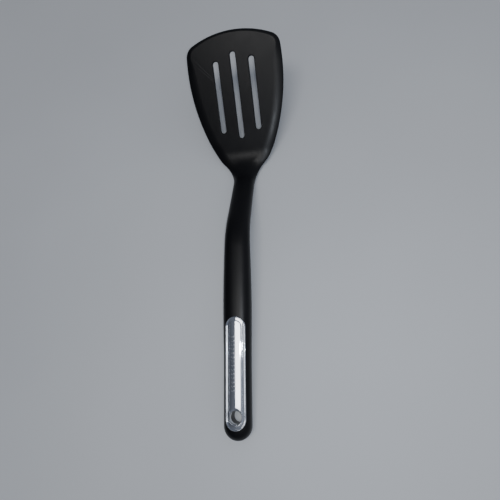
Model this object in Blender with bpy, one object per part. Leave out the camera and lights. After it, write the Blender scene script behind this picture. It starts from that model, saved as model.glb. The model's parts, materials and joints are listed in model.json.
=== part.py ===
"""Slotted kitchen turner: a one-piece nylon moulding with a chrome-plated inlay pressed into its handle.

The nylon body is drawn flat first, as an outline in (s, x), where s runs along the centreline from the
butt to the front edge and x runs across. Each outline point carries one section of the moulding, and the
finished strip is bent along a side view of straights and arcs. The handle pocket, the inlay that fills
it and the slots are all placed in the same (s, x) sheet, so they follow the handle and the blade.
"""

import math

import bmesh
import bpy
import numpy as np
from mathutils import Matrix, Vector

MM = 0.001
CLEARANCE = 0.3 * MM                    # between the inlay and the pocket, all round

# Side view, from the butt to the front edge: straight, bend, straight, heel, straight.
HANDLE_LENGTH = 145.0 * MM
NECK_BEND_RADIUS = 62.0 * MM
NECK_DROP = math.radians(25.0)          # slope of the neck below the handle
NECK_LENGTH = 41.7 * MM
HEEL_RADIUS = 36.0 * MM
BLADE_RISE = math.radians(25.0)         # slope of the blade above the handle
BLADE_LENGTH = 100.0 * MM

# Handle and neck, seen from above.
GRIP_WIDTH = 21.2 * MM                  # also the diameter of the round butt
SWELL_WIDTH = 22.3 * MM
SWELL_AT = 100.0 * MM                   # where the grip is widest
SWELL_RUN = 50.0 * MM                   # how far before that it starts to widen
NECK_WIDTH = 18.4 * MM                  # narrowest, where the shoulders start

# Blade, seen square on.
SHOULDER_LEAD = 3.5 * MM                # the shoulders start this far before the heel
SHOULDER_RADIUS = 32.0 * MM
SHOULDER_ANGLE = math.radians(45.4)
SHOULDER_PULL = 11.7 * MM               # handles of the side curve, at the shoulder
WIDEST_PULL = 38.2 * MM                 # and at the widest point
BLADE_WIDTH = 84.5 * MM
WIDEST_SETBACK = 30.4 * MM              # widest point to the front edge
SIDE_RADIUS = 163.0 * MM                # of the side in front of the widest point
FRONT_RADIUS = 84.0 * MM                # of the slightly bowed front edge
CORNER_RADIUS = 11.0 * MM

# Heights of the section above and below the centreline.
GRIP_TOP = 8.0 * MM
GRIP_UNDER = 7.0 * MM
GRIP_POWER = 2.4                        # superellipse: 2 is an ellipse, more is squarer
TAPER_AT = 100.0 * MM                   # the handle starts to thin here
NECK_TOP = 5.2 * MM
NECK_UNDER = 5.0 * MM
BLADE_THICKNESS = 3.0 * MM
EDGE_THICKNESS = 1.1 * MM
EDGE_ROUNDING = 0.5 * MM
ROLL_OFF = 9.0 * MM                     # width over which the top falls to the edge, along the sides
FRONT_ROLL_OFF = 3.0 * MM               # and at the middle of the front edge

# Slots, centred on the blade's width.
SLOT_WIDTH = 5.0 * MM
SLOT_PITCH = 15.9 * MM
MIDDLE_SLOT_LENGTH = 72.1 * MM
SIDE_SLOT_LENGTH = 60.5 * MM
MIDDLE_SLOT_SETBACK = 17.5 * MM         # front edge to the front end of the slot
SIDE_SLOT_SETBACK = 23.4 * MM
SLOT_RIM = 0.4 * MM                     # chamfer where the slot meets the faces

# Inlay, a racetrack shape in the top of the handle.
INLAY_WIDTH = 15.4 * MM
INLAY_START = 7.8 * MM                  # from the butt to the near end
INLAY_LENGTH = 82.2 * MM
PLATE_THICKNESS = 1.5 * MM
SKIRT_THICKNESS = 1.1 * MM
SKIRT_DEPTH = 2.3 * MM                  # of the outer wall, below the handle's surface
RIM_WIDTH = 1.0 * MM
RIM_PROUD = 0.45 * MM                   # rim above the handle's surface
GROOVE_DEPTH = 0.55 * MM
PANEL_WIDTH = 10.0 * MM
PANEL_STEP = 0.75 * MM                   # edge of the panel above the groove
PANEL_CROWN = 0.25 * MM                 # middle of the panel above its own edge

# Hanging hole, lined by the inlay's collar at its top.
HOLE_DIAMETER = 9.6 * MM
HOLE_AT = 17.0 * MM
HOLE_RIM = 0.5 * MM
COLLAR_WALL = 1.0 * MM
COLLAR_DEPTH = 5.0 * MM

# Press pegs under the inlay.
PEG_DIAMETER = 3.2 * MM
PEG_LENGTH = 3.0 * MM                   # below the floor of the pocket
PEG_COUNT = 3
FIRST_PEG_AT = 36.0 * MM
LAST_PEG_AT = 80.0 * MM
PEG_CHAMFER = 0.5 * MM

# Fineness of the meshes.
EDGE_RINGS = 9                          # rings of points from the outline to the centreline
ARC_STEPS = 9
SIDE_STEPS = 13
GRIP_STEP = 16.0 * MM
BEND_STEP = 5.0 * MM
ROUND_SEGMENTS = 32
OVERSIZE = 4.0 * MM                     # how far a cutter runs past what it cuts

NECK_BEND_ARC = NECK_BEND_RADIUS * NECK_DROP
NECK_END = HANDLE_LENGTH + NECK_BEND_ARC + NECK_LENGTH
BLADE_START = NECK_END + HEEL_RADIUS * (NECK_DROP + BLADE_RISE)
FRONT = BLADE_START + BLADE_LENGTH
SHOULDER_START = NECK_END - SHOULDER_LEAD
BUTT_CENTRE = GRIP_WIDTH / 2
WIDEST_AT = FRONT - WIDEST_SETBACK
FAN_CENTRE = FRONT - 0.7 * BLADE_WIDTH  # the rings of the blade's front end close in on this point


def ramp(value, start, end):
    """Smooth step from 0 at start to 1 at end."""
    t = min(max((value - start) / (end - start), 0.0), 1.0)
    return t * t * (3.0 - 2.0 * t)


def mix(a, b, t):
    return a + (b - a) * t


# ---- the side view -------------------------------------------------------------------------------

def spine(s):
    """Point (y, z) of the centreline at arc length s, and its slope angle."""
    y, z, slope = 0.0, 0.0, 0.0
    runs = (
        (HANDLE_LENGTH, 0.0),
        (NECK_BEND_ARC, -NECK_DROP),
        (NECK_LENGTH, 0.0),
        (BLADE_START - NECK_END, NECK_DROP + BLADE_RISE),
        (math.inf, 0.0),
    )
    for length, turn in runs:
        part = min(s, length)
        if turn == 0.0:
            y += part * math.cos(slope)
            z += part * math.sin(slope)
        else:
            radius = length / turn
            bent = slope + part / radius
            y += radius * (math.sin(bent) - math.sin(slope))
            z -= radius * (math.cos(bent) - math.cos(slope))
            slope = bent
        s -= part
        if s <= 0.0:
            break
    return y, z, slope


def on_sheet(s, x, height):
    """World point of the flat sheet's point (s, x), raised by height off the centreline's surface."""
    y, z, slope = spine(max(s, 0.0))
    y += min(s, 0.0)
    return Vector((x, y - height * math.sin(slope), z + height * math.cos(slope)))


def sheet_frame(s):
    """Matrix that stands a cutter's z axis square to the sheet at (s, 0), with its y axis along s."""
    slope = spine(s)[2]
    return Matrix.Translation(on_sheet(s, 0.0, 0.0)) @ Matrix.Rotation(slope, 4, "X")


# ---- the outline and the section -----------------------------------------------------------------

def half_width(s):
    """Half the width of the handle and neck at s."""
    swell = mix(GRIP_WIDTH, SWELL_WIDTH, ramp(s, SWELL_AT - SWELL_RUN, SWELL_AT))
    return mix(swell, NECK_WIDTH, ramp(s, SWELL_AT, SHOULDER_START)) / 2


def bezier(a, b, c, d, t):
    u = 1.0 - t
    return a * u ** 3 + b * (3 * t * u * u) + c * (3 * t * t * u) + d * t ** 3


def arc(centre, radius, start, end, steps):
    """Points on an arc in (s, x). Angles are from the +s direction towards +x."""
    return [
        centre + radius * Vector((math.cos(angle), math.sin(angle)))
        for angle in np.linspace(start, end, steps + 1)
    ]


def meeting(centre_a, radius_a, centre_b, radius_b):
    """The crossing of two circles that lies furthest out in x."""
    between = centre_b - centre_a
    distance = between.length
    along = (distance ** 2 + radius_a ** 2 - radius_b ** 2) / (2 * distance)
    aside = math.sqrt(radius_a ** 2 - along ** 2)
    direction = between / distance
    foot = centre_a + along * direction
    across = Vector((-direction.y, direction.x))
    return max((foot + aside * across, foot - aside * across), key=lambda point: point.y)


def head_outline():
    """Right side of the blade in (s, x), from the start of the shoulder to the middle of the front edge."""
    neck = NECK_WIDTH / 2
    widest = Vector((WIDEST_AT, BLADE_WIDTH / 2))
    shoulder = arc(
        Vector((SHOULDER_START, neck + SHOULDER_RADIUS)),
        SHOULDER_RADIUS, -math.pi / 2, SHOULDER_ANGLE - math.pi / 2, ARC_STEPS,
    )
    leaving = Vector((math.cos(SHOULDER_ANGLE), math.sin(SHOULDER_ANGLE)))
    pulls = (shoulder[-1] + SHOULDER_PULL * leaving, widest - Vector((WIDEST_PULL, 0.0)))
    side = [bezier(shoulder[-1], *pulls, widest, t) for t in np.linspace(0.0, 1.0, SIDE_STEPS + 1)]
    side_centre = widest - Vector((0.0, SIDE_RADIUS))
    front_centre = Vector((FRONT - FRONT_RADIUS, 0.0))
    corner = meeting(side_centre, SIDE_RADIUS - CORNER_RADIUS, front_centre, FRONT_RADIUS - CORNER_RADIUS)
    off_side = (corner - side_centre).normalized()
    off_front = (corner - front_centre).normalized()
    side_turn = math.atan2(off_side.y, off_side.x)
    front_turn = math.atan2(off_front.y, off_front.x)
    ahead = arc(side_centre, SIDE_RADIUS, math.pi / 2, side_turn, 3)
    corner_arc = arc(corner, CORNER_RADIUS, side_turn, front_turn, ARC_STEPS)
    front = arc(front_centre, FRONT_RADIUS, front_turn, 0.0, ARC_STEPS)
    return shoulder + side[1:] + ahead[1:] + corner_arc[1:] + front[1:]


def outline():
    """Right side of the whole outline in (s, x), from the butt to the middle of the front edge."""
    butt = arc(Vector((BUTT_CENTRE, 0.0)), BUTT_CENTRE, math.pi, math.pi / 2, ARC_STEPS)
    grip_steps = math.ceil((HANDLE_LENGTH - BUTT_CENTRE) / GRIP_STEP)
    neck_steps = math.ceil((SHOULDER_START - HANDLE_LENGTH) / BEND_STEP)
    stations = list(np.linspace(BUTT_CENTRE, HANDLE_LENGTH, grip_steps + 1))[1:]
    stations += list(np.linspace(HANDLE_LENGTH, SHOULDER_START, neck_steps + 1))[1:-1]
    return butt + [Vector((s, half_width(s))) for s in stations] + head_outline()


def superellipse(q):
    """Height, from 0 to 1, of the grip's section at the share q of the way from its edge to its middle."""
    return max(1.0 - (1.0 - min(q, 1.0)) ** GRIP_POWER, 0.0) ** (1.0 / GRIP_POWER)


def middle_heights(s):
    """Height of the section above and below the centreline, at its middle."""
    thin = ramp(s, TAPER_AT, SHOULDER_START)
    flat = ramp(s, SHOULDER_START, BLADE_START)
    top = mix(mix(GRIP_TOP, NECK_TOP, thin), BLADE_THICKNESS - EDGE_THICKNESS / 2, flat)
    under = mix(mix(GRIP_UNDER, NECK_UNDER, thin), EDGE_THICKNESS / 2, flat)
    return top, under


def roll_off(s):
    """Width over which the blade's top falls to its edge: broad along the sides, narrow at the front."""
    return mix(ROLL_OFF, FRONT_ROLL_OFF, ramp(s, WIDEST_AT, FRONT))


def section_heights(s, depth, reach):
    """Height above and below the centreline at depth in from the outline, where reach is the full way in."""
    top, under = middle_heights(s)
    grip = superellipse(depth / reach)
    nose = math.sqrt(1.0 - (1.0 - min(depth / EDGE_ROUNDING, 1.0)) ** 2) * EDGE_THICKNESS / 2
    rise = 1.0 - (1.0 - min(depth / roll_off(s), 1.0)) ** 2
    flat = ramp(s, SHOULDER_START, BLADE_START)
    blade_top = nose + (top - EDGE_THICKNESS / 2) * rise
    blade_under = nose + (under - EDGE_THICKNESS / 2) * rise
    return mix(top * grip, blade_top, flat), mix(under * grip, blade_under, flat)


def ring_depths(s, reach):
    """How far in from the outline each ring of points lies."""
    flat = ramp(s, SHOULDER_START, BLADE_START)
    depths = []
    for ring in range(EDGE_RINGS):
        quarter = math.pi / 2 * ring / EDGE_RINGS
        grip = reach * (1.0 - math.cos(quarter))
        if ring <= 3:
            blade = EDGE_ROUNDING * (1.0 - math.cos(math.pi / 6 * ring))
        else:
            blade = mix(EDGE_ROUNDING, roll_off(s), (ring - 3) / (EDGE_RINGS - 4))
        depths.append(mix(grip, blade, flat))
    return depths


def body_section(edge, slant):
    """Points of one section, from the middle of the top round the outline to the middle of the underside.

    slant is the cosine between the section's direction and the square across the outline.
    """
    centre = Vector((min(max(edge.x, BUTT_CENTRE), FAN_CENTRE), 0.0))
    inward = centre - edge
    reach = inward.length
    inward.normalize()
    top, under = [], []
    for depth in ring_depths(edge.x, reach):
        point = edge + inward * min(depth / slant, reach)
        above, below = section_heights(edge.x, depth, reach)
        top.append(on_sheet(point.x, point.y, above))
        under.append(on_sheet(point.x, point.y, -below))
    above, below = middle_heights(edge.x)
    top.append(on_sheet(centre.x, 0.0, above))
    under.append(on_sheet(centre.x, 0.0, -below))
    return top[::-1] + under[1:]


def body_mesh():
    """Right half of the nylon body, open along its plane of symmetry."""
    edges = outline()
    mesh = bmesh.new()
    rows = []
    for index, edge in enumerate(edges):
        before = edges[max(index - 1, 0)]
        after = edges[min(index + 1, len(edges) - 1)]
        tangent = (after - before).normalized()
        centre = Vector((min(max(edge.x, BUTT_CENTRE), FAN_CENTRE), 0.0))
        inward = (centre - edge).normalized()
        slant = abs(tangent.x * inward.y - tangent.y * inward.x)
        if edge.x < BUTT_CENTRE or index == len(edges) - 1:
            slant = 1.0
        rows.append([mesh.verts.new(point) for point in body_section(edge, slant)])
    for row, following in zip(rows, rows[1:]):
        for k in range(len(row) - 1):
            mesh.faces.new((row[k], following[k], following[k + 1], row[k + 1]))
    bmesh.ops.remove_doubles(mesh, verts=mesh.verts, dist=0.001 * MM)
    bmesh.ops.recalc_face_normals(mesh, faces=mesh.faces)
    return mesh


def grip_top(s, x):
    """Height of the handle's top surface above the centreline at (s, x)."""
    if s < BUTT_CENTRE:
        reach = BUTT_CENTRE
        depth = reach - math.hypot(BUTT_CENTRE - s, x)
    else:
        reach = half_width(s)
        depth = reach - abs(x)
    return section_heights(s, max(depth, 0.0), reach)[0]


# ---- racetrack shapes in the handle --------------------------------------------------------------

def racetrack(radius):
    """Closed loop of (s, x) points at radius round the inlay's centre segment."""
    near = INLAY_START + INLAY_WIDTH / 2
    far = INLAY_START + INLAY_LENGTH - INLAY_WIDTH / 2
    straights = math.ceil((far - near) / GRIP_STEP)
    loop = arc(Vector((near, 0.0)), radius, 1.5 * math.pi, 0.5 * math.pi, 2 * ARC_STEPS)
    loop += [Vector((s, radius)) for s in np.linspace(near, far, straights + 1)[1:-1]]
    loop += arc(Vector((far, 0.0)), radius, 0.5 * math.pi, -0.5 * math.pi, 2 * ARC_STEPS)
    loop += [Vector((s, -radius)) for s in np.linspace(far, near, straights + 1)[1:-1]]
    return loop


def racetrack_solid(name, profile, material=None):
    """Solid whose rings follow the racetrack at each (radius, height above the handle's surface).

    The profile runs from the middle of the underside, out and up, to the middle of the top. Its ends
    have radius 0, where a ring closes on the centre segment.
    """
    mesh = bmesh.new()
    rings = []
    for radius, height in profile:
        loop = racetrack(radius)
        rings.append([mesh.verts.new(on_sheet(p.x, p.y, grip_top(p.x, p.y) + height)) for p in loop])
    for ring, following in zip(rings, rings[1:]):
        for k in range(len(ring)):
            after = (k + 1) % len(ring)
            mesh.faces.new((ring[k], ring[after], following[after], following[k]))
    bmesh.ops.remove_doubles(mesh, verts=mesh.verts, dist=0.001 * MM)
    bmesh.ops.recalc_face_normals(mesh, faces=mesh.faces)
    return add_object(name, mesh, material)


def inlay_profile():
    """Half section of the inlay from the middle of its underside to the middle of its panel."""
    outer = INLAY_WIDTH / 2
    panel = PANEL_WIDTH / 2
    rim_inner = outer - RIM_WIDTH
    skirt_inner = outer - SKIRT_THICKNESS
    edge = PANEL_STEP - GROOVE_DEPTH
    return [
        (0.0, -PLATE_THICKNESS),
        (panel / 2, -PLATE_THICKNESS),
        (skirt_inner, -PLATE_THICKNESS),
        (skirt_inner, -SKIRT_DEPTH),
        (outer, -SKIRT_DEPTH),
        (outer, 0.0),
        (outer - RIM_WIDTH * 0.15, RIM_PROUD * 0.7),
        (outer - RIM_WIDTH * 0.5, RIM_PROUD),
        (outer - RIM_WIDTH * 0.85, RIM_PROUD * 0.7),
        (rim_inner, 0.0),
        (mix(rim_inner, panel, 0.1), -GROOVE_DEPTH * 0.8),
        (mix(rim_inner, panel, 0.25), -GROOVE_DEPTH),
        (mix(rim_inner, panel, 0.9), -GROOVE_DEPTH),
        (panel, -GROOVE_DEPTH * 0.6),
        (panel * 0.97, edge * 0.6),
        (panel * 0.9, edge),
        (panel * 0.6, edge + PANEL_CROWN * 0.55),
        (panel * 0.3, edge + PANEL_CROWN * 0.9),
        (0.0, edge + PANEL_CROWN),
    ]


def pocket_profile():
    """Half section of the cutter for the pocket: the inlay's outside, grown by the clearance."""
    outer = INLAY_WIDTH / 2 + CLEARANCE
    floor = -SKIRT_DEPTH - CLEARANCE
    return [
        (0.0, floor),
        (PANEL_WIDTH / 4, floor),
        (PANEL_WIDTH / 2, floor),
        (outer, floor),
        (outer, OVERSIZE),
        (0.0, OVERSIZE),
    ]


# ---- turned and slotted shapes -------------------------------------------------------------------

def turned_solid(name, profile, material=None):
    """Solid of revolution about z. The profile of (radius, z) runs from the bottom to the top."""
    mesh = bmesh.new()
    verts = [mesh.verts.new((radius, 0.0, z)) for radius, z in [(0.0, profile[0][1])] + profile]
    verts.append(mesh.verts.new((0.0, 0.0, profile[-1][1])))
    edges = [mesh.edges.new(pair) for pair in zip(verts, verts[1:])]
    bmesh.ops.spin(
        mesh, geom=verts + edges, cent=(0, 0, 0), axis=(0, 0, 1),
        angle=2 * math.pi, steps=ROUND_SEGMENTS, use_merge=True,
    )
    bmesh.ops.remove_doubles(mesh, verts=mesh.verts, dist=0.001 * MM)
    bmesh.ops.recalc_face_normals(mesh, faces=mesh.faces)
    return add_object(name, mesh, material)


def slot_cutter(name, length, setback, x):
    """Cutter for one slot: a round-ended prism, flared where it breaks the blade's two faces."""
    top = BLADE_THICKNESS - EDGE_THICKNESS / 2
    under = -EDGE_THICKNESS / 2
    radius = SLOT_WIDTH / 2
    levels = (
        (under - OVERSIZE, radius + SLOT_RIM + OVERSIZE),
        (under + SLOT_RIM, radius),
        (top - SLOT_RIM, radius),
        (top + OVERSIZE, radius + SLOT_RIM + OVERSIZE),
    )
    half = length / 2 - radius
    mesh = bmesh.new()
    rings = []
    for z, r in levels:
        loop = arc(Vector((half, 0.0)), r, -math.pi / 2, math.pi / 2, ARC_STEPS)
        loop += arc(Vector((-half, 0.0)), r, math.pi / 2, 1.5 * math.pi, ARC_STEPS)
        rings.append([mesh.verts.new((point.y, point.x, z)) for point in loop])
    for ring, following in zip(rings, rings[1:]):
        for k in range(len(ring)):
            after = (k + 1) % len(ring)
            mesh.faces.new((ring[k], ring[after], following[after], following[k]))
    mesh.faces.new(rings[0])
    mesh.faces.new(rings[-1])
    bmesh.ops.recalc_face_normals(mesh, faces=mesh.faces)
    cutter = add_object(name, mesh)
    cutter.matrix_world = Matrix.Translation((x, 0, 0)) @ sheet_frame(FRONT - setback - length / 2)
    return cutter


# ---- objects and modifiers -----------------------------------------------------------------------

def add_object(name, mesh, material=None):
    data = bpy.data.meshes.new(name)
    mesh.to_mesh(data)
    mesh.free()
    data.shade_smooth()
    data.set_sharp_from_angle(angle=math.radians(35.0))
    piece = bpy.data.objects.new(name, data)
    bpy.context.scene.collection.objects.link(piece)
    if material:
        data.materials.append(material)
    return piece


def add_boolean(target, tool, operation):
    """Cut the tool from the target, or join it on, and keep the tool out of the model."""
    modifier = target.modifiers.new(tool.name, "BOOLEAN")
    modifier.operation = operation
    modifier.object = tool
    tool.hide_render = True
    tool.display_type = "WIRE"


def make_material(name, colour, roughness, metallic):
    material = bpy.data.materials.new(name)
    material.use_nodes = True
    shader = material.node_tree.nodes["Principled BSDF"]
    shader.inputs["Base Color"].default_value = (*colour, 1.0)
    shader.inputs["Roughness"].default_value = roughness
    shader.inputs["Metallic"].default_value = metallic
    return material


# ---- the two pieces ------------------------------------------------------------------------------

def peg_stations():
    return np.linspace(FIRST_PEG_AT, LAST_PEG_AT, PEG_COUNT)


def make_body(material):
    body = add_object("turner_body", body_mesh(), material)
    mirror = body.modifiers.new("other_half", "MIRROR")
    mirror.use_axis[0] = True
    mirror.use_clip = True
    mirror.merge_threshold = 0.01 * MM
    add_boolean(body, racetrack_solid("pocket_cutter", pocket_profile()), "DIFFERENCE")

    hole = HOLE_DIAMETER / 2
    counterbore = hole + COLLAR_WALL + CLEARANCE
    seat = GRIP_TOP - COLLAR_DEPTH - CLEARANCE
    drill = turned_solid("hanging_hole_cutter", [
        (hole + HOLE_RIM + OVERSIZE, -GRIP_UNDER - OVERSIZE),
        (hole, -GRIP_UNDER + HOLE_RIM),
        (hole, seat),
        (counterbore, seat),
        (counterbore, GRIP_TOP + OVERSIZE),
    ])
    drill.location = on_sheet(HOLE_AT, 0.0, 0.0)
    add_boolean(body, drill, "DIFFERENCE")

    floor = GRIP_TOP - SKIRT_DEPTH - CLEARANCE
    socket = PEG_DIAMETER / 2 + CLEARANCE
    for number, s in enumerate(peg_stations(), start=1):
        drill = turned_solid(f"peg_socket_cutter_{number}", [
            (socket, floor - PEG_LENGTH - CLEARANCE),
            (socket, GRIP_TOP + OVERSIZE),
        ])
        drill.location = on_sheet(s, 0.0, 0.0)
        add_boolean(body, drill, "DIFFERENCE")

    slots = (
        ("left_slot_cutter", SIDE_SLOT_LENGTH, SIDE_SLOT_SETBACK, -SLOT_PITCH),
        ("middle_slot_cutter", MIDDLE_SLOT_LENGTH, MIDDLE_SLOT_SETBACK, 0.0),
        ("right_slot_cutter", SIDE_SLOT_LENGTH, SIDE_SLOT_SETBACK, SLOT_PITCH),
    )
    for slot in slots:
        add_boolean(body, slot_cutter(*slot), "DIFFERENCE")
    return body


def make_inlay(material):
    inlay = racetrack_solid("handle_inlay", inlay_profile(), material)
    hole = HOLE_DIAMETER / 2
    collar = turned_solid("hole_collar", [
        (hole + COLLAR_WALL, GRIP_TOP - COLLAR_DEPTH),
        (hole + COLLAR_WALL, GRIP_TOP - PLATE_THICKNESS / 2),
    ])
    collar.location = on_sheet(HOLE_AT, 0.0, 0.0)
    add_boolean(inlay, collar, "UNION")

    floor = GRIP_TOP - SKIRT_DEPTH - CLEARANCE
    for number, s in enumerate(peg_stations(), start=1):
        peg = turned_solid(f"press_peg_{number}", [
            (PEG_DIAMETER / 2 - PEG_CHAMFER, floor - PEG_LENGTH),
            (PEG_DIAMETER / 2, floor - PEG_LENGTH + PEG_CHAMFER),
            (PEG_DIAMETER / 2, GRIP_TOP - PLATE_THICKNESS / 2),
        ])
        peg.location = on_sheet(s, 0.0, 0.0)
        add_boolean(inlay, peg, "UNION")

    top = grip_top(HOLE_AT, HOLE_DIAMETER / 2)
    bore = turned_solid("collar_bore_cutter", [
        (hole, GRIP_TOP - COLLAR_DEPTH - OVERSIZE),
        (hole, top - HOLE_RIM),
        (hole + HOLE_RIM + OVERSIZE, top + OVERSIZE),
    ])
    bore.location = on_sheet(HOLE_AT, 0.0, 0.0)
    add_boolean(inlay, bore, "DIFFERENCE")
    return inlay


def evaluated_points(pieces):
    """Every vertex of the pieces, with their modifiers, as an array of world points."""
    graph = bpy.context.evaluated_depsgraph_get()
    points = []
    for piece in pieces:
        shape = piece.evaluated_get(graph)
        points += [shape.matrix_world @ vertex.co for vertex in shape.data.vertices]
    return np.array(points)


def lay_down(rest, pieces):
    """Tilt the turner until its butt and its heel touch one level plane, and centre it over the origin."""
    points = evaluated_points(pieces)
    butt = points[points[:, 1] < HANDLE_LENGTH / 2]
    heel = points[points[:, 1] >= HANDLE_LENGTH / 2]

    def lowest(group, tilt):
        return (group[:, 1] * math.sin(tilt) + group[:, 2] * math.cos(tilt)).min()

    low, high = 0.0, math.radians(30.0)
    for _ in range(40):
        tilt = (low + high) / 2
        if lowest(heel, tilt) < lowest(butt, tilt):
            low = tilt
        else:
            high = tilt
    along = points[:, 1] * math.cos(tilt) - points[:, 2] * math.sin(tilt)
    rest.rotation_euler.x = tilt
    rest.location = (0.0, -(along.min() + along.max()) / 2, -lowest(points, tilt))


def main():
    for old in list(bpy.data.objects):
        bpy.data.objects.remove(old)
    nylon = make_material("black_nylon", (0.012, 0.012, 0.014), 0.42, 0.0)
    chrome = make_material("chrome_plating", (0.80, 0.82, 0.86), 0.06, 1.0)
    pieces = [make_body(nylon), make_inlay(chrome)]
    rest = bpy.data.objects.new("rest_pose", None)
    bpy.context.scene.collection.objects.link(rest)
    bpy.context.view_layer.update()
    lay_down(rest, pieces)
    for piece in list(bpy.context.scene.objects):
        if piece is not rest:
            piece.parent = rest


main()
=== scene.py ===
"""The looks of the slotted turner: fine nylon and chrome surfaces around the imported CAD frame.

Both pieces are drawn again at a finer step than the CAD solids, in the same flat sheet (s, x): s runs
along the centreline from the butt to the front edge and x runs across, to the right. The sheet is bent
along the side view and laid where the frame's own mount says the blade is. Lengths are in metres.
"""

import json
import math

import bmesh
import bpy
import numpy as np
from mathutils import Matrix, Vector


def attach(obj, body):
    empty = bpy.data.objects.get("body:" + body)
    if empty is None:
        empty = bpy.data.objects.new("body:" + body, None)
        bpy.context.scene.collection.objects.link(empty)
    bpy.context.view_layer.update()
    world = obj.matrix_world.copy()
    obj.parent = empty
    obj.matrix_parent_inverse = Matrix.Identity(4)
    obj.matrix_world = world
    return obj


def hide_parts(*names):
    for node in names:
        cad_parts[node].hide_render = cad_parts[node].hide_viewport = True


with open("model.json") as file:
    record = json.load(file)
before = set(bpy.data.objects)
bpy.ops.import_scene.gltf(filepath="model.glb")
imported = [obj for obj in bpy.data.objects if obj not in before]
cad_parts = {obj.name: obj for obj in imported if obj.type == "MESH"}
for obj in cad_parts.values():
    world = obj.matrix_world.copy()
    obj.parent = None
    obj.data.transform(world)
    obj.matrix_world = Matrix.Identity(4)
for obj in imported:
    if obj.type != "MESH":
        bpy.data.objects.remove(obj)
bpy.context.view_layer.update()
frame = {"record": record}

MM = 0.001

# Side view of the nylon body.
HANDLE_LENGTH = 145.0 * MM
NECK_BEND_RADIUS = 62.0 * MM
NECK_DROP = math.radians(25.0)
NECK_LENGTH = 41.7 * MM
HEEL_RADIUS = 36.0 * MM
BLADE_RISE = math.radians(25.0)
BLADE_LENGTH = 100.0 * MM

# Outline, seen square on.
GRIP_WIDTH = 21.2 * MM
SWELL_WIDTH = 22.3 * MM
SWELL_AT = 100.0 * MM
SWELL_RUN = 50.0 * MM
NECK_WIDTH = 18.4 * MM
SHOULDER_LEAD = 3.5 * MM
SHOULDER_RADIUS = 32.0 * MM
SHOULDER_ANGLE = math.radians(45.4)
SHOULDER_PULL = 11.7 * MM
WIDEST_PULL = 38.2 * MM
BLADE_WIDTH = 84.5 * MM
WIDEST_SETBACK = 30.4 * MM
SIDE_RADIUS = 163.0 * MM
FRONT_RADIUS = 84.0 * MM
CORNER_RADIUS = 11.0 * MM

# Section of the nylon body.
GRIP_TOP = 8.0 * MM
GRIP_UNDER = 7.0 * MM
GRIP_POWER = 2.4
TAPER_AT = 100.0 * MM
NECK_TOP = 5.2 * MM
NECK_UNDER = 5.0 * MM
BLADE_THICKNESS = 3.0 * MM
EDGE_THICKNESS = 1.1 * MM
EDGE_ROUNDING = 0.5 * MM
ROLL_OFF = 9.0 * MM
FRONT_ROLL_OFF = 3.0 * MM

# Slots.
SLOT_WIDTH = 5.0 * MM
SLOT_PITCH = 15.9 * MM
MIDDLE_SLOT_LENGTH = 72.1 * MM
SIDE_SLOT_LENGTH = 60.5 * MM
MIDDLE_SLOT_SETBACK = 17.5 * MM
SIDE_SLOT_SETBACK = 23.4 * MM
SLOT_ROUNDING = 0.7 * MM

# Inlay and hanging hole.
CLEARANCE = 0.12 * MM                   # the seam that shows round the inlay
INLAY_WIDTH = 15.4 * MM
INLAY_START = 7.8 * MM
INLAY_LENGTH = 82.2 * MM
SKIRT_DEPTH = 2.3 * MM
RIM_WIDTH = 1.0 * MM
RIM_PROUD = 0.45 * MM
GROOVE_DEPTH = 0.55 * MM
PANEL_WIDTH = 10.0 * MM
PANEL_STEP = 0.75 * MM
PANEL_CROWN = 0.25 * MM
PANEL_ROUNDING = 0.6 * MM
HOLE_DIAMETER = 9.6 * MM
HOLE_AT = 17.0 * MM
HOLE_ROUNDING = 0.6 * MM
COLLAR_WALL = 1.0 * MM
COLLAR_DEPTH = 5.0 * MM

# Plain raised beads along the panel.
BEAD_COUNT = 14
BEADS_ASIDE = -0.9 * MM                 # left of the panel's middle
FIRST_BEAD_AT = 36.0 * MM
LAST_BEAD_AT = 75.0 * MM
BEAD_LENGTH = 3.6 * MM                  # across the panel
BEAD_WIDTH = 1.7 * MM                   # along it
BEAD_HEIGHT = 0.6 * MM
BEAD_SINK = 0.1 * MM                    # how deep its middle lies in the panel

# The record's flat face: a point on the blade's underside.
FACE_SETBACK = 55.0 * MM                # behind the front edge
FACE_ASIDE = 8.0 * MM                   # right of the middle

# Fineness of the meshes.
EDGE_RINGS = 18
NOSE_RINGS = 5
ARC_STEPS = 20
SIDE_STEPS = 34
GRIP_STEP = 3.5 * MM
BEND_STEP = 2.0 * MM
ROUND_SEGMENTS = 96
FLARE_RINGS = 8
RIM_RINGS = 8
CORNER_RINGS = 10
PANEL_RINGS = 9
GROOVE_RINGS = (0.02, 0.08, 0.5, 0.94, 1.0)     # shares of the way across the groove's floor
SHARP_ANGLE = math.radians(40.0)
WELD = 0.001 * MM

# Cutters.
OVERSIZE = 4.0 * MM                     # how far they stand out of what they cut
FLARE_TURN = math.radians(80.0)         # how far a rounded rim turns before it goes on straight
FLARE_SLOPE = math.radians(60.0)        # the straight part's angle to the cutter's axis
SHADING_REACH = 0.005 * MM              # farther than this from the uncut surface, shading is new

# Stage.
CAMERA_AT = (0.1001, -0.1342, 0.3525)
CAMERA_TARGET = (0.0047, -0.0141, 0.0001)
CAMERA_TOP = (0.065, 0.950, 0.306)
LENS_MM = 32.76
SENSOR_MM = 36.0
FLOOR_REACH = 3.0
ROOM_COLOUR = (0.80, 0.86, 1.0, 1.0)
ROOM_LEFT = 0.09                        # strength of the room's light from either side
ROOM_RIGHT = 0.36

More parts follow.
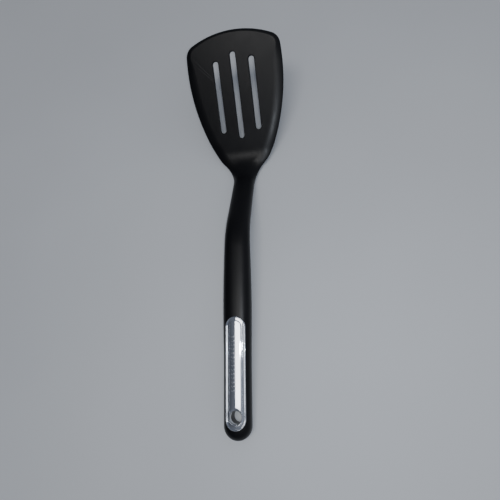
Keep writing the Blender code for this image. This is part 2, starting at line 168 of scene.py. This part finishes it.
NECK_BEND_ARC = NECK_BEND_RADIUS * NECK_DROP
NECK_END = HANDLE_LENGTH + NECK_BEND_ARC + NECK_LENGTH
BLADE_START = NECK_END + HEEL_RADIUS * (NECK_DROP + BLADE_RISE)
FRONT = BLADE_START + BLADE_LENGTH
SHOULDER_START = NECK_END - SHOULDER_LEAD
BUTT_CENTRE = GRIP_WIDTH / 2
WIDEST_AT = FRONT - WIDEST_SETBACK
FAN_CENTRE = FRONT - 0.7 * BLADE_WIDTH      # where the sections of the blade's front part meet
BLADE_TOP = BLADE_THICKNESS - EDGE_THICKNESS / 2
BLADE_UNDER = EDGE_THICKNESS / 2


def ramp(value, start, end):
    """Smooth step from 0 at start to 1 at end."""
    t = min(max((value - start) / (end - start), 0.0), 1.0)
    return t * t * (3.0 - 2.0 * t)


def mix(a, b, t):
    return a + (b - a) * t


def spread(start, end, count):
    """Count evenly spaced numbers from start to end."""
    return np.linspace(start, end, count).tolist()


# ---- the flat sheet and where it lies --------------------------------------------------------------

def spine(s):
    """Point (y, z) of the centreline at arc length s along the handle's own line, and its slope angle."""
    y, z, slope = 0.0, 0.0, 0.0
    runs = (
        (HANDLE_LENGTH, 0.0),
        (NECK_BEND_ARC, -NECK_DROP),
        (NECK_LENGTH, 0.0),
        (BLADE_START - NECK_END, NECK_DROP + BLADE_RISE),
        (math.inf, 0.0),
    )
    for length, turn in runs:
        part = min(s, length)
        if turn == 0.0:
            y += part * math.cos(slope)
            z += part * math.sin(slope)
        else:
            radius = length / turn
            bent = slope + part / radius
            y += radius * (math.sin(bent) - math.sin(slope))
            z -= radius * (math.cos(bent) - math.cos(slope))
            slope = bent
        s -= part
        if s <= 0.0:
            break
    return y, z, slope


def rest_matrix():
    """Lays the handle's own line in the frame, so that the blade's underside is at the record's flat face."""
    mount = next(m for m in frame["record"]["mounts"] if m["name"] == "blade_underside")
    pitch = math.atan2(mount["axis"][1], -mount["axis"][2])
    tilt = Matrix.Rotation(pitch - BLADE_RISE, 4, "X")
    y, z, slope = spine(FRONT - FACE_SETBACK)
    face = Vector((FACE_ASIDE, y + BLADE_UNDER * math.sin(slope), z - BLADE_UNDER * math.cos(slope)))
    return Matrix.Translation(Vector(mount["pos_m"]) - tilt @ face) @ tilt


REST = rest_matrix()


def on_sheet(s, x, height):
    """Point of the flat sheet at (s, x), raised by height, in the frame."""
    y, z, slope = spine(max(s, 0.0))
    y += min(s, 0.0)
    return REST @ Vector((x, y - height * math.sin(slope), z + height * math.cos(slope)))


def sheet_frame(s, x=0.0, height=0.0):
    """Matrix that stands a shape's z axis square to the sheet at (s, x), with its y axis along s."""
    turn = REST.to_3x3().to_4x4() @ Matrix.Rotation(spine(s)[2], 4, "X")
    return Matrix.Translation(on_sheet(s, x, height)) @ turn


# ---- outline and section of the nylon body ---------------------------------------------------------

def half_width(s):
    """Half the width of the handle and neck at s."""
    swell = mix(GRIP_WIDTH, SWELL_WIDTH, ramp(s, SWELL_AT - SWELL_RUN, SWELL_AT))
    return mix(swell, NECK_WIDTH, ramp(s, SWELL_AT, SHOULDER_START)) / 2


def bezier(a, b, c, d, t):
    u = 1.0 - t
    return a * u ** 3 + b * (3 * t * u * u) + c * (3 * t * t * u) + d * t ** 3


def arc(centre, radius, start, end, steps):
    """Points on an arc in (s, x). Angles are from the +s direction towards +x."""
    return [
        centre + radius * Vector((math.cos(angle), math.sin(angle)))
        for angle in spread(start, end, steps + 1)
    ]


def meeting(centre_a, radius_a, centre_b, radius_b):
    """The crossing of two circles that lies furthest out in x."""
    between = centre_b - centre_a
    distance = between.length
    along = (distance ** 2 + radius_a ** 2 - radius_b ** 2) / (2 * distance)
    aside = math.sqrt(radius_a ** 2 - along ** 2)
    direction = between / distance
    foot = centre_a + along * direction
    across = Vector((-direction.y, direction.x))
    return max((foot + aside * across, foot - aside * across), key=lambda point: point.y)


def head_outline():
    """Right side of the blade in (s, x), from the start of the shoulder to the middle of the front edge."""
    neck = NECK_WIDTH / 2
    widest = Vector((WIDEST_AT, BLADE_WIDTH / 2))
    shoulder = arc(
        Vector((SHOULDER_START, neck + SHOULDER_RADIUS)),
        SHOULDER_RADIUS, -math.pi / 2, SHOULDER_ANGLE - math.pi / 2, ARC_STEPS,
    )
    leaving = Vector((math.cos(SHOULDER_ANGLE), math.sin(SHOULDER_ANGLE)))
    pulls = (shoulder[-1] + SHOULDER_PULL * leaving, widest - Vector((WIDEST_PULL, 0.0)))
    side = [bezier(shoulder[-1], *pulls, widest, t) for t in spread(0.0, 1.0, SIDE_STEPS + 1)]
    side_centre = widest - Vector((0.0, SIDE_RADIUS))
    front_centre = Vector((FRONT - FRONT_RADIUS, 0.0))
    corner = meeting(side_centre, SIDE_RADIUS - CORNER_RADIUS, front_centre, FRONT_RADIUS - CORNER_RADIUS)
    off_side = (corner - side_centre).normalized()
    off_front = (corner - front_centre).normalized()
    side_turn = math.atan2(off_side.y, off_side.x)
    front_turn = math.atan2(off_front.y, off_front.x)
    ahead = arc(side_centre, SIDE_RADIUS, math.pi / 2, side_turn, ARC_STEPS // 3)
    corner_arc = arc(corner, CORNER_RADIUS, side_turn, front_turn, ARC_STEPS)
    front = arc(front_centre, FRONT_RADIUS, front_turn, 0.0, ARC_STEPS)
    return shoulder + side[1:] + ahead[1:] + corner_arc[1:] + front[1:]


def outline():
    """Right side of the whole outline in (s, x), from the butt to the middle of the front edge."""
    butt = arc(Vector((BUTT_CENTRE, 0.0)), BUTT_CENTRE, math.pi, math.pi / 2, ARC_STEPS)
    grip_steps = math.ceil((HANDLE_LENGTH - BUTT_CENTRE) / GRIP_STEP)
    neck_steps = math.ceil((SHOULDER_START - HANDLE_LENGTH) / BEND_STEP)
    stations = spread(BUTT_CENTRE, HANDLE_LENGTH, grip_steps + 1)[1:]
    stations += spread(HANDLE_LENGTH, SHOULDER_START, neck_steps + 1)[1:-1]
    return butt + [Vector((s, half_width(s))) for s in stations] + head_outline()


def superellipse(q):
    """Height, from 0 to 1, of the grip's section at the share q of the way from its edge to its middle."""
    return max(1.0 - (1.0 - min(q, 1.0)) ** GRIP_POWER, 0.0) ** (1.0 / GRIP_POWER)


def middle_heights(s):
    """Height of the section above and below the centreline, at its middle."""
    thin = ramp(s, TAPER_AT, SHOULDER_START)
    flat = ramp(s, SHOULDER_START, BLADE_START)
    top = mix(mix(GRIP_TOP, NECK_TOP, thin), BLADE_TOP, flat)
    under = mix(mix(GRIP_UNDER, NECK_UNDER, thin), BLADE_UNDER, flat)
    return top, under


def roll_off(s):
    """Width over which the blade's top falls to its edge: broad along the sides, narrow at the front."""
    return mix(ROLL_OFF, FRONT_ROLL_OFF, ramp(s, WIDEST_AT, FRONT))


def section_heights(s, depth, reach):
    """Height above and below the centreline at depth in from the outline, where reach is the full way in."""
    top, under = middle_heights(s)
    grip = superellipse(depth / reach)
    nose = math.sqrt(1.0 - (1.0 - min(depth / EDGE_ROUNDING, 1.0)) ** 2) * EDGE_THICKNESS / 2
    rise = 1.0 - (1.0 - min(depth / roll_off(s), 1.0)) ** 2
    flat = ramp(s, SHOULDER_START, BLADE_START)
    blade_top = nose + (top - EDGE_THICKNESS / 2) * rise
    blade_under = nose + (under - EDGE_THICKNESS / 2) * rise
    return mix(top * grip, blade_top, flat), mix(under * grip, blade_under, flat)


def ring_depths(s, reach):
    """How far in from the outline each ring of points lies."""
    flat = ramp(s, SHOULDER_START, BLADE_START)
    depths = []
    for ring in range(EDGE_RINGS):
        grip = reach * (1.0 - math.cos(math.pi / 2 * ring / EDGE_RINGS))
        if ring <= NOSE_RINGS:
            blade = EDGE_ROUNDING * (1.0 - math.cos(math.pi / 2 * ring / NOSE_RINGS))
        else:
            blade = mix(EDGE_ROUNDING, roll_off(s), (ring - NOSE_RINGS) / (EDGE_RINGS - 1 - NOSE_RINGS))
        depths.append(mix(grip, blade, flat))
    return depths


def body_section(edge, slant):
    """Points of one section, from the middle of the top round the outline to the middle of the underside."""
    centre = Vector((min(max(edge.x, BUTT_CENTRE), FAN_CENTRE), 0.0))
    inward = centre - edge
    reach = inward.length
    inward.normalize()
    top, under = [], []
    for depth in ring_depths(edge.x, reach):
        point = edge + inward * min(depth / slant, reach)
        above, below = section_heights(edge.x, depth, reach)
        top.append(on_sheet(point.x, point.y, above))
        under.append(on_sheet(point.x, point.y, -below))
    above, below = middle_heights(edge.x)
    top.append(on_sheet(centre.x, 0.0, above))
    under.append(on_sheet(centre.x, 0.0, -below))
    return top[::-1] + under[1:]


def body_mesh():
    """Right half of the nylon body, open along its plane of symmetry."""
    edges = outline()
    mesh = bmesh.new()
    rows = []
    for index, edge in enumerate(edges):
        before = edges[max(index - 1, 0)]
        after = edges[min(index + 1, len(edges) - 1)]
        tangent = (after - before).normalized()
        centre = Vector((min(max(edge.x, BUTT_CENTRE), FAN_CENTRE), 0.0))
        inward = (centre - edge).normalized()
        slant = abs(tangent.x * inward.y - tangent.y * inward.x)
        if edge.x < BUTT_CENTRE or index == len(edges) - 1:
            slant = 1.0
        rows.append([mesh.verts.new(point) for point in body_section(edge, slant)])
    for row, following in zip(rows, rows[1:]):
        for k in range(len(row) - 1):
            mesh.faces.new((row[k], following[k], following[k + 1], row[k + 1]))
    bmesh.ops.remove_doubles(mesh, verts=mesh.verts, dist=WELD)
    bmesh.ops.recalc_face_normals(mesh, faces=mesh.faces)
    return mesh


def grip_top(s, x):
    """Height of the handle's top surface above the centreline at (s, x)."""
    if s < BUTT_CENTRE:
        reach = BUTT_CENTRE
        depth = reach - math.hypot(BUTT_CENTRE - s, x)
    else:
        reach = half_width(s)
        depth = reach - abs(x)
    return section_heights(s, max(depth, 0.0), reach)[0]


# ---- shapes ----------------------------------------------------------------------------------------

def add_object(name, mesh, material=None, sharp=SHARP_ANGLE):
    """Object made from the mesh, smooth except at edges that turn by more than the sharp angle."""
    bmesh.ops.recalc_face_normals(mesh, faces=mesh.faces)
    data = bpy.data.meshes.new(name)
    mesh.to_mesh(data)
    mesh.free()
    data.shade_smooth()
    data.set_sharp_from_angle(angle=sharp)
    piece = bpy.data.objects.new(name, data)
    bpy.context.scene.collection.objects.link(piece)
    if material:
        data.materials.append(material)
    return piece


def bridge_loops(mesh, loops):
    """Quads between closed loops of equal length."""
    rings = [[mesh.verts.new(point) for point in loop] for loop in loops]
    for ring, following in zip(rings, rings[1:]):
        for k in range(len(ring)):
            after = (k + 1) % len(ring)
            mesh.faces.new((ring[k], ring[after], following[after], following[k]))
    return rings


def racetrack(radius):
    """Closed loop of (s, x) points at radius round the inlay's centre segment."""
    near = INLAY_START + INLAY_WIDTH / 2
    far = INLAY_START + INLAY_LENGTH - INLAY_WIDTH / 2
    straights = math.ceil((far - near) / GRIP_STEP)
    loop = arc(Vector((near, 0.0)), radius, 1.5 * math.pi, 0.5 * math.pi, 2 * ARC_STEPS)
    loop += [Vector((s, radius)) for s in spread(near, far, straights + 1)[1:-1]]
    loop += arc(Vector((far, 0.0)), radius, 0.5 * math.pi, -0.5 * math.pi, 2 * ARC_STEPS)
    loop += [Vector((s, -radius)) for s in spread(far, near, straights + 1)[1:-1]]
    return loop


def racetrack_solid(name, profile, material=None):
    """Solid whose rings follow the racetrack at each (radius, height above the handle's surface, crowning).

    Crowning is the share of the panel's crown, which runs across the handle only, that a ring takes.
    """
    mesh = bmesh.new()
    loops = []
    for radius, height, crowning in profile:
        loop = []
        for p in racetrack(radius):
            crown = crowning * PANEL_CROWN * (1.0 - (2 * p.y / PANEL_WIDTH) ** 2)
            loop.append(on_sheet(p.x, p.y, grip_top(p.x, p.y) + height + crown))
        loops.append(loop)
    bridge_loops(mesh, loops)
    bmesh.ops.remove_doubles(mesh, verts=mesh.verts, dist=WELD)
    return add_object(name, mesh, material, sharp=math.pi)


def turned_loops(profile, placing):
    """One round loop of points for each (radius, z) of the profile."""
    turns = [2 * math.pi * k / ROUND_SEGMENTS for k in range(ROUND_SEGMENTS)]
    return [
        [placing @ Vector((radius * math.cos(turn), radius * math.sin(turn), z)) for turn in turns]
        for radius, z in profile
    ]


def capped(name, loops):
    """Solid between closed loops, with a face on the first and on the last."""
    mesh = bmesh.new()
    rings = bridge_loops(mesh, loops)
    mesh.faces.new(rings[0])
    mesh.faces.new(rings[-1])
    return add_object(name, mesh)


def flare(radius, rounding, face, side):
    """Levels (radius, z) of a cutter that leaves a rounded rim where it breaks through a face.

    side is 1 where the face is the cutter's upper one and -1 where it is the lower one.
    """
    levels = []
    for turn in spread(0.0, FLARE_TURN, FLARE_RINGS):
        widened = radius + rounding * (1.0 - math.cos(turn))
        levels.append((widened, face - side * rounding * (1.0 - math.sin(turn))))
    last_radius, last_z = levels[-1]
    levels.append((last_radius + OVERSIZE * math.tan(FLARE_SLOPE), last_z + side * OVERSIZE))
    return levels


def cut(target, *tools):
    """Cut the tools from the target for good. What is left of the target's own surface keeps its shading."""
    settle(target)
    uncut = target.copy()
    uncut.data = target.data.copy()
    bpy.context.scene.collection.objects.link(uncut)
    for tool in tools:
        modifier = target.modifiers.new(tool.name, "BOOLEAN")
        modifier.operation = "DIFFERENCE"
        modifier.solver = "EXACT"
        modifier.object = tool
    settle(target)
    target.data.set_sharp_from_angle(angle=SHARP_ANGLE)
    shading = target.modifiers.new("own_shading", "DATA_TRANSFER")
    shading.object = uncut
    shading.use_loop_data = True
    shading.data_types_loops = {"CUSTOM_NORMAL"}
    shading.loop_mapping = "POLYINTERP_NEAREST"
    shading.use_max_distance = True
    shading.max_distance = SHADING_REACH
    settle(target)
    for piece in (uncut, *tools):
        bpy.data.objects.remove(piece)


def settle(piece):
    """Replace the piece's mesh with what its modifiers make of it."""
    bpy.context.view_layer.update()
    graph = bpy.context.evaluated_depsgraph_get()
    made = bpy.data.meshes.new_from_object(piece.evaluated_get(graph))
    piece.modifiers.clear()
    piece.data = made


# ---- materials -------------------------------------------------------------------------------------

def new_material(name):
    material = bpy.data.materials.new(name)
    material.use_nodes = True
    nodes = material.node_tree.nodes
    return material, nodes, material.node_tree.links, nodes["Principled BSDF"]


def noise(nodes, links, coordinates, scale, detail, roughness=0.5):
    node = nodes.new("ShaderNodeTexNoise")
    node.inputs["Scale"].default_value = scale
    node.inputs["Detail"].default_value = detail
    node.inputs["Roughness"].default_value = roughness
    links.new(coordinates, node.inputs["Vector"])
    return node.outputs["Fac"]


def remap(nodes, links, value, low, high, to_low, to_high):
    node = nodes.new("ShaderNodeMapRange")
    node.inputs["From Min"].default_value = low
    node.inputs["From Max"].default_value = high
    node.inputs["To Min"].default_value = to_low
    node.inputs["To Max"].default_value = to_high
    links.new(value, node.inputs["Value"])
    return node.outputs["Result"]


def stretched(nodes, links, coordinates, scale):
    node = nodes.new("ShaderNodeMapping")
    node.inputs["Scale"].default_value = scale
    links.new(coordinates, node.inputs["Vector"])
    return node.outputs["Vector"]


def total(nodes, links, first, second):
    node = nodes.new("ShaderNodeMath")
    node.operation = "ADD"
    links.new(first, node.inputs[0])
    links.new(second, node.inputs[1])
    return node.outputs["Value"]


def mottle(nodes, links, shader, pattern, low, high, first, second):
    """Base colour that goes from first to second as the pattern goes from low to high."""
    node = nodes.new("ShaderNodeMix")
    node.data_type = "RGBA"
    links.new(remap(nodes, links, pattern, low, high, 0.0, 1.0), node.inputs["Factor"])
    node.inputs["A"].default_value = (*first, 1.0)
    node.inputs["B"].default_value = (*second, 1.0)
    links.new(node.outputs["Result"], shader.inputs["Base Color"])


def bump(nodes, links, height, distance, strength, below=None):
    node = nodes.new("ShaderNodeBump")
    node.inputs["Distance"].default_value = distance
    node.inputs["Strength"].default_value = strength
    links.new(height, node.inputs["Height"])
    if below is not None:
        links.new(below, node.inputs["Normal"])
    return node.outputs["Normal"]


def nylon_material():
    """Satin black nylon: a fine spark-eroded grain, faint flow marks, and scuffs along the tool's length."""
    material, nodes, links, shader = new_material("nylon_surface")
    place = nodes.new("ShaderNodeTexCoord").outputs["Object"]
    grain = noise(nodes, links, place, 5200.0, 2.0)
    cloud = noise(nodes, links, place, 55.0, 3.0)
    scuffs = noise(nodes, links, stretched(nodes, links, place, (900.0, 60.0, 200.0)), 1.0, 4.0, 0.6)
    mottle(nodes, links, shader, cloud, 0.3, 0.7, (0.0022, 0.0022, 0.0030), (0.0034, 0.0034, 0.0044))
    worn = remap(nodes, links, scuffs, 0.45, 0.75, 0.0, 0.07)
    gloss = total(nodes, links, worn, remap(nodes, links, cloud, 0.3, 0.7, 0.32, 0.38))
    links.new(gloss, shader.inputs["Roughness"])
    shader.inputs["Specular IOR Level"].default_value = 0.3
    shader.inputs["IOR"].default_value = 1.53
    flow = bump(nodes, links, cloud, 0.05 * MM, 0.25)
    links.new(bump(nodes, links, grain, 0.012 * MM, 0.35, flow), shader.inputs["Normal"])
    return material


def chrome_material():
    """Bright plating on plastic: a faint waviness, hairline scratches and finger marks in the gloss."""
    material, nodes, links, shader = new_material("chrome_surface")
    place = nodes.new("ShaderNodeTexCoord").outputs["Object"]
    wave = noise(nodes, links, place, 160.0, 1.0)
    hairs = noise(nodes, links, stretched(nodes, links, place, (4200.0, 130.0, 900.0)), 1.0, 3.0, 0.6)
    marks = noise(nodes, links, place, 140.0, 3.0)
    mottle(nodes, links, shader, marks, 0.35, 0.7, (0.80, 0.83, 0.88), (0.74, 0.77, 0.83))
    shader.inputs["Metallic"].default_value = 1.0
    scratched = remap(nodes, links, hairs, 0.6, 0.8, 0.0, 0.08)
    gloss = total(nodes, links, remap(nodes, links, marks, 0.45, 0.75, 0.05, 0.11), scratched)
    links.new(gloss, shader.inputs["Roughness"])
    links.new(bump(nodes, links, wave, 0.02 * MM, 0.08), shader.inputs["Normal"])
    return material


def floor_material():
    """Plain pale matt surface."""
    material, nodes, links, shader = new_material("floor_surface")
    place = nodes.new("ShaderNodeTexCoord").outputs["Object"]
    cloud = noise(nodes, links, place, 6.0, 2.0)
    mottle(nodes, links, shader, cloud, 0.3, 0.7, (0.76, 0.78, 0.80), (0.80, 0.82, 0.84))
    shader.inputs["Roughness"].default_value = 0.6
    return material


# ---- the pieces ------------------------------------------------------------------------------------

def slot_cutter(name, length, setback, x):
    """Round-ended prism with rounded rims at the blade's two faces."""
    radius = SLOT_WIDTH / 2
    half = length / 2 - radius
    placing = sheet_frame(FRONT - setback - length / 2, x)
    levels = flare(radius, SLOT_ROUNDING, -BLADE_UNDER, -1)[::-1] + flare(radius, SLOT_ROUNDING, BLADE_TOP, 1)
    loops = []
    for r, z in levels:
        loop = arc(Vector((half, 0.0)), r, -math.pi / 2, math.pi / 2, ARC_STEPS)
        loop += arc(Vector((-half, 0.0)), r, math.pi / 2, 1.5 * math.pi, ARC_STEPS)
        loops.append([placing @ Vector((point.y, point.x, z)) for point in loop])
    return capped(name, loops)


def make_body(material):
    """The nylon moulding: both halves of the skin, cut for the inlay, the hanging hole and the slots."""
    body = add_object("nylon_body", body_mesh(), material)
    mirror = body.modifiers.new("other_half", "MIRROR")
    mirror.use_axis[0] = True
    mirror.use_clip = True
    mirror.merge_threshold = 0.01 * MM
    outer = INLAY_WIDTH / 2 + CLEARANCE
    floor = -SKIRT_DEPTH - CLEARANCE
    pocket = racetrack_solid("pocket_cutter", [
        (0.0, floor, 0.0),
        (PANEL_WIDTH / 2, floor, 0.0),
        (outer, floor, 0.0),
        (outer, OVERSIZE, 0.0),
        (0.0, OVERSIZE, 0.0),
    ])
    hole = HOLE_DIAMETER / 2
    seat = GRIP_TOP - COLLAR_DEPTH - CLEARANCE
    counterbore = hole + COLLAR_WALL + CLEARANCE
    levels = flare(hole, HOLE_ROUNDING, -GRIP_UNDER, -1)[::-1]
    levels += [(hole, seat), (counterbore, seat), (counterbore, GRIP_TOP + OVERSIZE)]
    drill = capped("hole_cutter", turned_loops(levels, sheet_frame(HOLE_AT)))
    cut(
        body, pocket, drill,
        slot_cutter("left_slot_cutter", SIDE_SLOT_LENGTH, SIDE_SLOT_SETBACK, -SLOT_PITCH),
        slot_cutter("middle_slot_cutter", MIDDLE_SLOT_LENGTH, MIDDLE_SLOT_SETBACK, 0.0),
        slot_cutter("right_slot_cutter", SIDE_SLOT_LENGTH, SIDE_SLOT_SETBACK, SLOT_PITCH),
    )
    return body


def inlay_profile():
    """Half section of the inlay, from the middle of its underside to the middle of its panel."""
    outer = INLAY_WIDTH / 2
    panel = PANEL_WIDTH / 2
    rim_inner = outer - RIM_WIDTH
    edge = PANEL_STEP - GROOVE_DEPTH
    profile = [(0.0, -SKIRT_DEPTH, 0.0), (panel, -SKIRT_DEPTH, 0.0), (outer, -SKIRT_DEPTH, 0.0)]
    # Rounded rim, from the top of the outer wall over to the floor of the groove.
    for turn in spread(0.0, math.pi / 2, RIM_RINGS):
        profile.append((outer - RIM_WIDTH / 2 * (1.0 - math.cos(turn)), RIM_PROUD * math.sin(turn), 0.0))
    for turn in spread(math.pi / 2, math.pi, CORNER_RINGS)[1:]:
        height = mix(-GROOVE_DEPTH, RIM_PROUD, math.sin(turn) ** 2)
        profile.append((outer - RIM_WIDTH / 2 * (1.0 - math.cos(turn)), height, 0.0))
    for t in GROOVE_RINGS:
        profile.append((mix(rim_inner, panel, t), -GROOVE_DEPTH, 0.0))
    # The panel's rounded edge, then its face.
    for turn in spread(0.0, math.pi / 2, CORNER_RINGS)[1:]:
        radius = panel - PANEL_ROUNDING * (1.0 - math.cos(turn))
        profile.append((radius, mix(-GROOVE_DEPTH, edge, math.sin(turn)), math.sin(turn)))
    for t in spread(1.0, 0.0, PANEL_RINGS)[1:]:
        profile.append(((panel - PANEL_ROUNDING) * t, edge, 1.0))
    return profile


def make_inlay(material):
    """The plated trim piece, bored for the hanging hole."""
    inlay = racetrack_solid("plated_inlay", inlay_profile(), material)
    hole = HOLE_DIAMETER / 2
    levels = [(hole, -OVERSIZE)] + flare(hole, HOLE_ROUNDING, grip_top(HOLE_AT, hole), 1)
    cut(inlay, capped("bore_cutter", turned_loops(levels, sheet_frame(HOLE_AT))))
    return inlay


def make_collar(material):
    """Tube that lines the top of the hanging hole, below the inlay's face."""
    inner = HOLE_DIAMETER / 2
    outer = inner + COLLAR_WALL
    low = GRIP_TOP - COLLAR_DEPTH
    high = GRIP_TOP - SKIRT_DEPTH - CLEARANCE
    corners = ((inner, low), (outer, low), (outer, high), (inner, high), (inner, low))
    mesh = bmesh.new()
    bridge_loops(mesh, turned_loops(corners, sheet_frame(HOLE_AT)))
    bmesh.ops.remove_doubles(mesh, verts=mesh.verts, dist=WELD)
    return add_object("hole_collar", mesh, material)


def make_beads(material):
    """A plain row of raised oval beads along the panel, each lying across it."""
    mesh = bmesh.new()
    surface = PANEL_STEP - GROOVE_DEPTH + PANEL_CROWN
    for s in spread(FIRST_BEAD_AT, LAST_BEAD_AT, BEAD_COUNT):
        placing = sheet_frame(s, 0.0, grip_top(s, 0.0) + surface - BEAD_SINK)
        bead = bmesh.ops.create_uvsphere(mesh, u_segments=24, v_segments=12, radius=1.0)["verts"]
        for vert in bead:
            x = vert.co.x * BEAD_LENGTH / 2 + BEADS_ASIDE
            sag = grip_top(s, 0.0) - grip_top(s, x) + PANEL_CROWN * (2 * x / PANEL_WIDTH) ** 2
            vert.co = placing @ Vector((x, vert.co.y * BEAD_WIDTH / 2, vert.co.z * BEAD_HEIGHT - sag))
    return add_object("panel_beads", mesh, material)


# ---- stage -----------------------------------------------------------------------------------------

def aim(piece, target, up):
    """Turn a camera or lamp at its place towards target, with up towards the top."""
    ahead = (Vector(target) - piece.location).normalized()
    right = ahead.cross(Vector(up)).normalized()
    top = right.cross(ahead)
    piece.rotation_euler = Matrix((right, top, -ahead)).transposed().to_euler()


def make_floor():
    mesh = bmesh.new()
    bmesh.ops.create_grid(mesh, x_segments=2, y_segments=2, size=FLOOR_REACH)
    floor = add_object("floor", mesh, floor_material())


def make_camera():
    camera = bpy.data.objects.new("camera", bpy.data.cameras.new("camera"))
    camera.data.sensor_width = SENSOR_MM
    camera.data.lens = LENS_MM
    camera.location = CAMERA_AT
    aim(camera, CAMERA_TARGET, CAMERA_TOP)
    bpy.context.scene.collection.objects.link(camera)
    bpy.context.scene.camera = camera


def make_lamp(name, place, target, size, power, colour):
    """Rectangular area lamp at a place, facing the target."""
    lamp = bpy.data.lights.new(name, "AREA")
    lamp.shape = "RECTANGLE"
    lamp.size, lamp.size_y = size
    lamp.energy = power
    lamp.color = colour
    piece = bpy.data.objects.new(name, lamp)
    bpy.context.scene.collection.objects.link(piece)
    piece.location = place
    aim(piece, target, (0.0, 1.0, 0.0))


def make_world():
    """Dim bluish room light, weaker on the left than on the right."""
    world = bpy.data.worlds.new("studio")
    bpy.context.scene.world = world
    world.use_nodes = True
    nodes = world.node_tree.nodes
    links = world.node_tree.links
    direction = nodes.new("ShaderNodeSeparateXYZ")
    links.new(nodes.new("ShaderNodeTexCoord").outputs["Generated"], direction.inputs["Vector"])
    background = nodes["Background"]
    background.inputs["Color"].default_value = ROOM_COLOUR
    strength = remap(nodes, links, direction.outputs["X"], -0.8, 0.8, ROOM_LEFT, ROOM_RIGHT)
    links.new(strength, background.inputs["Strength"])


def make_stage():
    """Floor, camera, a soft key lamp overhead, a small front lamp and the room's own light."""
    make_floor()
    make_camera()
    make_lamp("key", (0.08, -0.43, 3.0), (0.08, -0.43, 0.0), (1.75, 0.90), 21.0, (1.0, 0.99, 0.98))
    make_lamp("front", (0.112, -0.138, 0.36), (0.0, -0.02, 0.0), (0.016, 0.016), 0.30, (0.86, 0.92, 1.0))
    make_world()


def main():
    nylon = nylon_material()
    chrome = chrome_material()
    body = make_body(nylon)
    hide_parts("turner_body")
    inlay = make_inlay(chrome)
    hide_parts("handle_inlay")
    plated = [inlay, make_collar(chrome), make_beads(chrome)]
    for piece in [body] + plated:
        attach(piece, "root")
    make_stage()


main()
